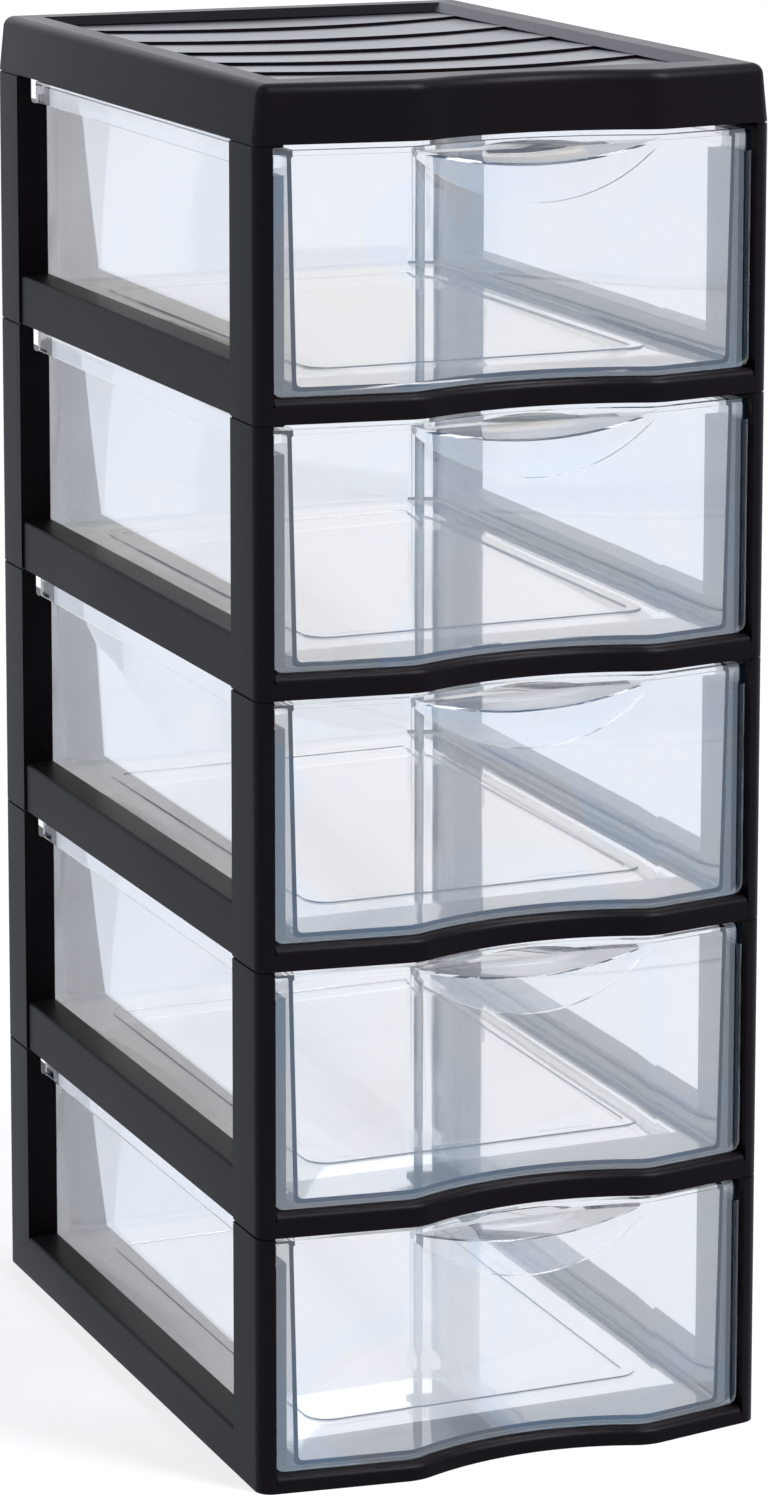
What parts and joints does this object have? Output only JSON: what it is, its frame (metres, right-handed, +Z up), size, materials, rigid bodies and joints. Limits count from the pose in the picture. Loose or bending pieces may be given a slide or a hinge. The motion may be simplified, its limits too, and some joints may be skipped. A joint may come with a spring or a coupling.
{
  "type": "drawer tower",
  "caption": "Tall drawer tower: stacked open-sided black frames under a ribbed cover, with clear wavy-fronted drawers that slide out by a flap handle.",
  "frame": {"origin": "on the floor under the middle of the tower's bounding box", "axes": "+Z up, -Y towards the front of the drawers, +X towards the right side as the front is seen"},
  "size_m": [0.195, 0.285, 0.4992],
  "materials": {
    "black_plastic": "moulded black plastic, satin outside",
    "clear_plastic": "clear moulded plastic, glossy"
  },
  "bodies": {
    "tower": {"base_frame": "black_plastic", "frame_2": "black_plastic", "frame_3": "black_plastic", "frame_4": "black_plastic", "frame_5": "black_plastic", "top_cover": "black_plastic"},
    "drawer_1": {"drawer_1": "clear_plastic"},
    "drawer_2": {"drawer_2": "clear_plastic"},
    "drawer_3": {"drawer_3": "clear_plastic"},
    "drawer_4": {"drawer_4": "clear_plastic"},
    "drawer_5": {"drawer_5": "clear_plastic"}
  },
  "joints": [
    {"name": "drawer_1_slide", "type": "slide", "parent": "tower", "child": "drawer_1", "axis": [0, -1, 0], "range_m": [0, 0.185]},
    {"name": "drawer_2_slide", "type": "slide", "parent": "tower", "child": "drawer_2", "axis": [0, -1, 0], "range_m": [0, 0.185]},
    {"name": "drawer_3_slide", "type": "slide", "parent": "tower", "child": "drawer_3", "axis": [0, -1, 0], "range_m": [0, 0.185]},
    {"name": "drawer_4_slide", "type": "slide", "parent": "tower", "child": "drawer_4", "axis": [0, -1, 0], "range_m": [0, 0.185]},
    {"name": "drawer_5_slide", "type": "slide", "parent": "tower", "child": "drawer_5", "axis": [0, -1, 0], "range_m": [0, 0.185]}
  ]
}
